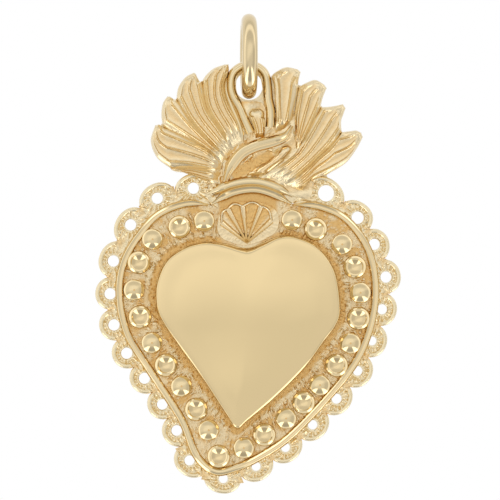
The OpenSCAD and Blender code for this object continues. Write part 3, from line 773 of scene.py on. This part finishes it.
class CHARM_OT_lace(bpy.types.Operator):
    """Pierced lace edge of engraved loops"""
    bl_idname = "charm.lace"
    bl_label = "Lace edge"

    def execute(self, context):
        border = even_line(flat(BORDER), steps=400)
        bm = new_shape()
        for i in range(len(LACE_LOOPS)):
            lace_loop(bm, i, border, context.scene.charm_sizes)
        finish_shape(bm, "engraved_lace", "charm", pierced_gold(), ["lace_edge"])
        return {"FINISHED"}


def loop_frame(i):
    """A loop's middle, the direction of its row there, the direction outwards, and the loops beside it."""
    points = flat(LACE_LOOPS)
    middle = points[i]
    behind = points[i - 1] if i else 2 * middle - points[1]
    ahead = points[i + 1] if i < len(points) - 1 else 2 * middle - points[-2]
    way = (ahead - behind).normalized()
    return middle, way, Vector((way.y, -way.x)), (behind, ahead)


def loop_reach(middle, aim, outward, beside, border, sizes):
    """How far a loop's metal goes along a direction: outwards to its lobe, sideways half way to the
    next loop, inwards to the border wire. outward is the direction's share away from the heart."""
    free = crossing(middle, aim, border)
    halves = [((other - middle).length / 2, aim.dot((other - middle).normalized())) for other in beside]
    if free is None:
        first, last = Vector(LACE_LOOPS[0][:2]), Vector(LACE_LOOPS[-1][:2])
        loose = (middle == first and halves[1][1] < 0) or (middle == last and halves[0][1] < 0)
        free = sizes.loop_out if loose and outward <= 0 else VIEW_WIDTH
    for half, lean in halves:
        if lean > 0.01:
            free = min(free, half / lean)
    if outward <= 0:
        return free
    wide = halves[1][0] if halves[1][1] > 0 else halves[0][0]
    lobe = 1 / math.hypot(math.sqrt(1 - outward ** 2) / wide, outward / sizes.loop_out)
    return min(free, max(lobe, VALLEY_OUT / outward))


def lace_loop(bm, i, border, sizes):
    """One loop: a bored boss, granular cuts that fan out from it, and a smooth rim on its outer side."""
    depth = bm.verts.layers.float["depth"]
    middle, way, out, beside = loop_frame(i)
    hole_r = LACE_LOOPS[i][2] * sizes.loop_hole
    steps = 112
    rows = 20
    turns = [math.tau * k / steps for k in range(steps)]
    aims = [way * math.cos(turn) + out * math.sin(turn) for turn in turns]
    lap = 0.01
    reaches = [loop_reach(middle, aim, math.sin(turn), beside, border, sizes) + lap
        for turn, aim in zip(turns, aims)]
    rim_w, rim_high = 0.42, 0.22
    collar_r, collar_w, collar_high = 0.09, 0.07, 0.1
    base, field_high, cut_high, speck_high, valley_deep = 0.1, 0.03, 0.1, 0.1, 0.07
    specks_per_mm = 5.5
    wall_depth = 0.3

    def place(s, t):
        """Collar round the hole, a field of cuts with specks, the rim, and a valley to each next loop.
        Painted shade lies between the cuts and in the valleys.
        """
        k = round(t * steps) % steps
        a = turns[k]
        r = mix(hole_r, reaches[k], s)
        p = middle + aims[k] * r
        gap = reaches[k] - r
        outer = smooth_step(0.0, 0.22, math.sin(a))
        rim = math.sqrt(max(0, 1 - (2 * gap / rim_w - 1) ** 2)) if gap < rim_w else 0
        collar = math.exp(-(((r - hole_r) - collar_r) / collar_w) ** 2)
        field = smooth_step(0.1, 0.22, r - hole_r) * mix(1, smooth_step(0.34, 0.48, gap), outer)
        cut = 0.5 + 0.5 * math.cos(a * sizes.loop_ribs)
        speck = noise.noise(Vector((p.x, p.y, LACE_LAYER)) * specks_per_mm)
        valley = math.exp(-(math.sin(a) / 0.16) ** 2) * smooth_step(0.5, 0.9, s)
        height = base + rim_high * rim * outer + collar_high * collar
        height += field * (field_high + cut_high * cut + speck_high * speck)
        height -= valley_deep * valley
        # Painted shade between the cuts and in the valleys, varied by the specks
        sunk = field * mix(0.5, 0.0, cut) * (0.8 + speck) + 0.8 * valley
        return spot(p.x, p.y, max(0, height) if s > 0 else 0), clip(sunk)

    verts = lay_grid(bm, steps, rows, place)
    weld(bm, verts)
    edges = open_edges_of([v for v in verts if v.is_valid])
    feet, rims = drop_sides(bm, edges, BACK_Y - LACE_SET_IN * MM)
    # Painted shade on the walls that drop back from the loops
    for vert in feet:
        vert[depth] = wall_depth
    bmesh.ops.bridge_loops(bm, edges=rims)


class CHARM_OT_wires(bpy.types.Operator):
    """Border wire, arch wire, the band over it, the strand round the eye, its fillet and the ribbon"""
    bl_idname = "charm.wires"
    bl_label = "Wires and ribbon"

    def execute(self, context):
        wire = drawn_gold("drawn_gold_wire", "wire_tint")
        # The border wire stops two steps short of the arch wire's line at each end
        border = even_line(flat(BORDER), steps=520)[2:-2]
        arch = even_line(flat(ARCH), steps=80)
        band = even_line(flat(BAND), steps=90)
        strand = [hug_eye(p) for p in even_line(flat(EYE_STRAND), steps=150)]
        fillet = even_line(flat(FILLET), steps=60)
        ribbon = even_line(flat(RIBBON), steps=90)
        lay_wire("border_wire_twin", border, border_section, wire, "border_wire")
        lay_wire("arch_wire_twin", arch, arch_section, wire, "arch_wire")
        lay_wire("crown_band_round", band, band_section, wire, "crown_band")
        lay_wire("eye_strand_round", strand, lambda share, p: round_section(0.92, 0.9), wire, "eye_strand")
        lay_wire("strand_fillet", fillet, fillet_section, wire, None)
        lay_wire("ribbon_twist", ribbon, ribbon_section, wire, "ribbon")
        return {"FINISHED"}


def taper(share, reach=0.12):
    """Share of its full size that a wire has near its ends, where it is drawn down thinner."""
    return mix(0.3, 1, smooth_step(0, reach, share) * smooth_step(1, 1 - reach, share))


def border_section(share, p):
    """Border wire, a little inside its line. Its two crests become one low on the heart's left side."""
    width, height, inside = 0.76, 0.5, 0.09
    split = 1 - smooth_step(-24, -27, p.y) * smooth_step(1, -2, p.x)
    section = twin_section(width * taper(share, 0.025), height, split)
    return [(across - inside, up, deep) for across, up, deep in section]


def arch_section(share, p):
    """Arch wire, thinner towards its ends."""
    width, height, size = 0.85, 0.75, taper(share, 0.2)
    return twin_section(width * size, height * size, 1)


def band_section(share, p):
    """Band over the arch wire, thinner towards its ends."""
    width, height, size = 0.95, 0.6, taper(share, 0.2)
    return round_section(width * size, height * size)


def fillet_section(share, p):
    """Low fillet of solder, narrower towards its ends."""
    return round_section(0.62 * taper(share), 0.42)


def ribbon_section(share, p):
    """Ribbon, which is widest along its middle."""
    width, height = 1.15, 1.1
    return hollow_section(width * on_open(RIBBON_WIDTHS, share), height)


def hug_eye(p):
    """Moves a point of the strand a little towards the eye, where it runs round it."""
    nearer = 0.93
    return p * mix(nearer, 1, smooth_step(2.1, 3, p.length))


def round_section(width, height):
    """Half-round wire on a low upright foot, with painted shade that deepens down its sides to the foot."""
    steps = 12
    foot = 0.1
    side_depth = 0.4
    corners = []
    for k in range(steps + 1):
        a = math.pi * k / steps
        up = foot + (height - foot) * math.sin(a)
        corners.append((-math.cos(a) * width / 2, up, side_depth * (1 - math.sin(a))))
    return [(-width / 2, 0, 1)] + corners + [(width / 2, 0, 1)]


def twin_section(width, height, split):
    """Two fine crests side by side with a groove between them, or one crest where split is 0. The rows
    are the corners of one side, from the foot up, with shares of the width and of the height, and the depth
    that sets their painted shade, most at the foot and some in the groove."""
    half = [(0.5, 0, 0.6), (0.5, 0.4, 0.4), (0.42, 0.74, 0.2), (0.35, 0.9, 0), (0.28, 1, 0), (0.2, 0.94, 0),
        (0.1, 0.87, 0.2)]
    whole = [(0.5, 0, 0.6), (0.5, 0.4, 0.4), (0.38, 0.7, 0.2), (0.26, 0.86, 0), (0.16, 0.95, 0),
        (0.08, 0.99, 0), (0.03, 1, 0)]
    side = [[mix(w, h, split) for w, h in zip(a, b)] for a, b in zip(whole, half)]
    left = [(-across * width, up * height, deep) for across, up, deep in side]
    right = [(across * width, up * height, deep) for across, up, deep in side]
    return left + [(0, mix(1, 0.85, split) * height, 0.3 * split)] + right[::-1]


def hollow_section(width, height):
    """Band with two crests and a shallow channel between them, from left to right, with painted shade at its
    feet and a little in the channel.
    """
    shares = [(-0.5, 0, 1), (-0.5, 0.55, 0.6), (-0.42, 0.8, 0.2), (-0.25, 0.94, 0), (-0.05, 0.92, 0),
        (0.1, 0.84, 0.3), (0.2, 0.86, 0.3), (0.3, 0.98, 0), (0.38, 1, 0), (0.45, 0.8, 0.2), (0.5, 0.4, 0.8),
        (0.5, 0, 1)]
    return [(across * width, up * height, deep) for across, up, deep in shares]


def lay_wire(name, line, section, material, node):
    """Wire laid on the sheets along a line, with section(share, point) all along it."""
    bm = new_shape()
    sweep(bm, line, section)
    finish_shape(bm, name, "charm", material, [node] if node else [])


class CHARM_OT_flames(bpy.types.Operator):
    """Ridged tongues of the crown and the leaf at their foot"""
    bl_idname = "charm.flames"
    bl_label = "Flames"

    def execute(self, context):
        gold = chased_gold()
        for entry in TONGUES + [LEAF, MID]:
            chase_tongue(entry, context.scene.charm_sizes, gold)
        return {"FINISHED"}


def tongue_side(seam, tip, share):
    """Point of one side of a tongue: along its seam and then round its tip."""
    if share < SEAM_SHARE:
        return on_open(flat(seam), share / SEAM_SHARE)
    return on_open(flat([seam[-1]] + tip), (share - SEAM_SHARE) / (1 - SEAM_SHARE))


def chase_tongue(entry, sizes, material):
    """One tongue: fine crests that run up it from a low root, and a smooth hood round its tip."""
    name, left_seam, left_tip, right_tip, right_seam, ridges = entry
    rows = 96
    cols_per_ridge = 20
    sides = [(tongue_side(left_seam, left_tip, i / rows), tongue_side(right_seam, right_tip, i / rows))
        for i in range(rows + 1)]
    spine = [(a + b) / 2 for a, b in sides]
    left_over = [sum((spine[n + 1] - spine[n]).length for n in range(i, rows)) for i in range(rows + 1)]
    hood_w, seam_w, crest_w = 0.65, 0.3, 0.09
    root_high, tip_high = 0.25, 0.14
    top = sizes.seam_height + sizes.swell
    crest_share, trough_share = 0.75, 0.6
    outer_trough = 0.35
    speck_share, specks_per_mm = 0.25, 2.5

    def place(s, t):
        """Crests and troughs that fade out at the root, along the free edge and under the tip. The troughs
        take painted shade, less near the tongue's edges, and random specks vary the colour.
        """
        i = round(s * rows)
        a, b = sides[i]
        p = a.lerp(b, t)
        wide = (b - a).length
        beside = min(t, 1 - t) * wide
        gap = min(beside, left_over[i])
        free = smooth_step(SEAM_SHARE - 0.08, SEAM_SHARE + 0.08, s)
        roll = math.sqrt(1 - (1 - min(gap / hood_w, 1)) ** 2)
        seam = 1 - (1 - min(beside / seam_w, 1)) ** 2
        edge = mix(sizes.seam_height, tip_high, free)
        fade = smooth_step(0.05, 0.22, s) * smooth_step(0.5, 1.0, left_over[i])
        inside = mix(1, smooth_step(0.15, 0.5, gap), free)
        off = (t * ridges) % 1 - 0.5
        line = math.exp(-(off * wide / ridges / crest_w) ** 2)
        broad = math.cos(math.pi * off) ** 2
        ridge = mix(broad, line, crest_share) * fade * inside
        body = mix(edge, top, mix(seam, roll, free)) + sizes.ridge_height * ridge
        # Painted shade in the troughs, less in the outer ones
        inner = 1 if 0.6 / ridges < t < 1 - 0.6 / ridges else outer_trough
        trough = fade * inside * (1 - broad) * inner
        speck = speck_share * noise.noise(Vector((p.x, p.y, FLAME_LAYER)) * specks_per_mm)
        height = mix(root_high, body, smooth_step(-0.02, 0.2, s))
        return spot(p.x, p.y, height), clip(trough_share * trough + speck)

    bm = new_shape()
    verts = lay_grid(bm, cols_per_ridge * ridges, rows, place)
    drop_and_close(bm, open_edges_of(verts), FRONT_Y)
    finish_shape(bm, "chased_" + name, "charm", material, [name], sharp=50)


class CHARM_OT_dome(bpy.types.Operator):
    """Polished heart"""
    bl_idname = "charm.dome"
    bl_label = "Heart dome"

    def execute(self, context):
        sizes = context.scene.charm_sizes
        steps = 240
        edge = even_line(flat(DOME_EDGE), steps, curve=on_round)
        middle = Vector(DOME_MID)
        # Shares of the way from the edge to the middle, close together round the shoulder
        rings = [0, 0.0015, 0.004, 0.008, 0.013, 0.02, 0.026, 0.033, 0.042, 0.06, 0.08, 0.13, 0.2]
        rings += [0.2 + 0.8 * n / 22 for n in range(1, 23)]
        shoulder_w, cleft_shoulder_w = 0.34, 0.7
        shoulder_high, cleft_rim = 1.6, 0.25
        # The face is what lies above the first height, and its dents are full above the second
        face_low, face_high = 1.64, 1.8
        smoothings = 40
        dent_mm, dent_deep = 5.5, 0.12
        wave_mm, wave_deep = 2.8, 0.012

        def place(s, t):
            """Upright rim, rounded shoulder and crowned face. The rim is low and the shoulder broad in the
            cleft."""
            foot = edge[round(t * steps) % steps]
            inset = rings[round(s * (len(rings) - 1))]
            p = foot.lerp(middle, inset)
            gap = (foot - p).length
            cleft = in_cleft(foot, 2.6)
            k = min(gap / mix(shoulder_w, cleft_shoulder_w, cleft), 1)
            lift = math.sqrt(max(0, 1 - (1 - k) ** 2))
            crown = 1 - (1 - min(inset * 1.3, 1)) ** 2
            start = mix(sizes.dome_rim, cleft_rim, cleft)
            height = mix(start, mix(shoulder_high, sizes.dome_rise, crown), lift)
            return spot(p.x, p.y, height), 0.0

        bm = new_shape()
        weld(bm, lay_grid(bm, steps, len(rings) - 1, place))
        face = [v for v in bm.verts if v.co.y < FRONT_Y - face_low * MM]
        for turn in range(smoothings):
            bmesh.ops.smooth_vert(bm, verts=face, factor=0.5, use_axis_y=True)
        for vert in face:
            p = Vector((vert.co.x, vert.co.z, 0)) / MM
            dent = noise.noise(p / dent_mm) * dent_deep + noise.noise(p / wave_mm) * wave_deep
            vert.co.y -= dent * smooth_step(face_low, face_high, (FRONT_Y - vert.co.y) / MM) * MM
        drop_and_close(bm, open_edges(bm), FRONT_Y)
        finish_shape(bm, "burnished_heart", "charm", burnished_gold(), ["heart_dome"],
            sharp=60)
        return {"FINISHED"}


class CHARM_OT_studs(bpy.types.Operator):
    """Ball and cup studs round the heart"""
    bl_idname = "charm.studs"
    bl_label = "Studs"

    def execute(self, context):
        gold = polished_gold()
        for node in sorted(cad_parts):
            if node.startswith("ball_stud"):
                set_stud(node, ball_section, gold)
            if node.startswith("cup_stud"):
                set_stud(node, cup_section, gold)
        return {"FINISHED"}


def ball_section(radius, height):
    """Cap of a larger ball on an upright collar, with painted shade at the collar's foot. The small dark pit
    in its middle is a painted reflection of the camera's lens.
    """
    cap = 0.42
    steps = 18
    collar = height - cap
    ball_r = (radius ** 2 + cap ** 2) / (2 * cap)
    reach = math.asin(radius / ball_r)
    wall = [(0, 0, 0), (radius, 0, 0.5), (radius, collar - 0.05, 0.2), (radius - 0.01, collar + 0.01, 0)]
    angles = [reach * (1 - k / steps) for k in range(1, steps - 1)]
    head = [(ball_r * math.sin(a), height - ball_r * (1 - math.cos(a)), 0) for a in angles]
    # Small dark pit: painted reflection of the camera's lens, which shows as a dark dot on each ball
    lens_reflection_pit = [(0.075, height, 0.3), (0.055, height - 0.1, 1), (0, height - 0.11, 1)]
    return wall + head + lens_reflection_pit


def cup_section(radius, height):
    """Upright wall, a band that slopes up to a fine rim, and a round dish. The wall's rows say how far
    each corner lies inside the radius and below the height."""
    dish_in, dish_low, dish_deep = 0.34, 0.07, 0.28
    steps = 12
    drops = [(0, 0.3), (0.03, 0.2), (0.1, 0.13), (0.19, 0.07), (0.24, 0.01), (0.265, 0), (0.29, 0.01),
        (dish_in, dish_low)]
    # Painted shade: some at the wall's foot and a little over the dish
    wall = [(0, 0, 0), (radius, 0, 0.3)] + [(radius - inside, height - low, 0) for inside, low in drops]
    dish_r = radius - dish_in
    dish = [(dish_r * k / steps, height - dish_low - dish_deep * (1 - (k / steps) ** 2), 0.15)
        for k in range(steps - 1, -1, -1)]
    return wall + dish


def set_stud(node, section, material):
    """One stud in the place and at the size of its solid."""
    low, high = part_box(node)
    middle = Vector(((low[0] + high[0]) / 2 / MM, ((low[2] + high[2]) / 2 - EYE_Z) / MM))
    radius = (high[0] - low[0]) / 2 / MM
    height = (FRONT_Y - low[1]) / MM
    bm = new_shape()
    spin_section(bm, middle, section(radius, height), steps=56)
    finish_shape(bm, "polished_" + node, "charm", material, [node], sharp=60)


class CHARM_OT_fan(bpy.types.Operator):
    """Ribbed fan in the heart's cleft, on its grained ground"""
    bl_idname = "charm.fan"
    bl_label = "Fan"

    def execute(self, context):
        bm = new_shape()
        edge = even_line(flat(FAN_EDGE), steps=60, curve=on_round)
        root = Vector(FAN_ROOT)
        ground_high, grain_high, grain_mm = 0.36, 0.06, 0.22
        rib_steps, rib_foot_w, rib_head_w, rib_high = 30, 0.25, 0.66, 0.72
        brow_steps, brow_out, brow_w, brow_high = 16, 0.36, 0.36, 0.66

        def dress(p):
            """Grained ground, with painted shade between the ribs, lighter on the grains."""
            grain = granules(p, grain_mm)
            rise = p - root
            spread = abs(math.atan2(rise.x, rise.y))
            recess = smooth_step(0.8, 1.5, rise.length) * smooth_step(0.75, 0.6, spread)
            return ground_high + grain_high * grain, 0.15 + recess - 0.3 * grain

        lay_patch(bm, Vector(FAN_MID), edge, steps=200, rows=20, dress=dress)
        drop_and_close(bm, open_edges(bm), FRONT_Y)
        heads = flat(FAN_RIB_HEADS)
        for head in heads:
            line = [root.lerp(head, i / rib_steps) for i in range(rib_steps + 1)]
            sweep(bm, line, lambda share, p: twin_section(mix(rib_foot_w, rib_head_w, share), rib_high, 1))
        # A brow arches from each rib's head to the next
        for a, b in zip(heads, heads[1:]):
            outward = ((a + b) / 2 - root).normalized() * brow_out
            shares = [k / brow_steps for k in range(brow_steps + 1)]
            brow = [a.lerp(b, share) + outward * math.sin(math.pi * share) for share in shares]
            sweep(bm, brow, lambda share, p: round_section(brow_w, brow_high))
        finish_shape(bm, "ribbed_fan", "charm", fan_gold(), ["fan"])
        return {"FINISHED"}


class CHARM_PT_build(bpy.types.Panel):
    """Buttons and values of the charm"""
    bl_idname = "CHARM_PT_build"
    bl_label = "Flaming heart charm"
    bl_space_type = "VIEW_3D"
    bl_region_type = "UI"
    bl_category = "Charm"

    def draw(self, context):
        for group in (context.scene.charm_sizes, context.scene.charm_finish):
            for key in group.__annotations__:
                self.layout.prop(group, key)
        for step in STEPS:
            self.layout.operator(step.bl_idname)


STEPS = [CHARM_OT_stage, CHARM_OT_jump_ring, CHARM_OT_sheets, CHARM_OT_ground, CHARM_OT_lace,
    CHARM_OT_wires, CHARM_OT_flames, CHARM_OT_dome, CHARM_OT_studs, CHARM_OT_fan]
CLASSES = [CharmSizes, CharmFinish] + STEPS + [CHARM_PT_build]


def register():
    """Makes the classes and their values known to Blender."""
    for cls in CLASSES:
        bpy.utils.register_class(cls)
    bpy.types.Scene.charm_sizes = bpy.props.PointerProperty(type=CharmSizes)
    bpy.types.Scene.charm_finish = bpy.props.PointerProperty(type=CharmFinish)


def unregister():
    """Takes the classes and their values out again."""
    del bpy.types.Scene.charm_finish
    del bpy.types.Scene.charm_sizes
    for cls in reversed(CLASSES):
        bpy.utils.unregister_class(cls)


def main():
    """Builds the charm step by step."""
    register()
    for step in STEPS:
        group, name = step.bl_idname.split(".")
        getattr(getattr(bpy.ops, group), name)()
    bpy.context.view_layer.update()


if __name__ == "__main__":
    main()
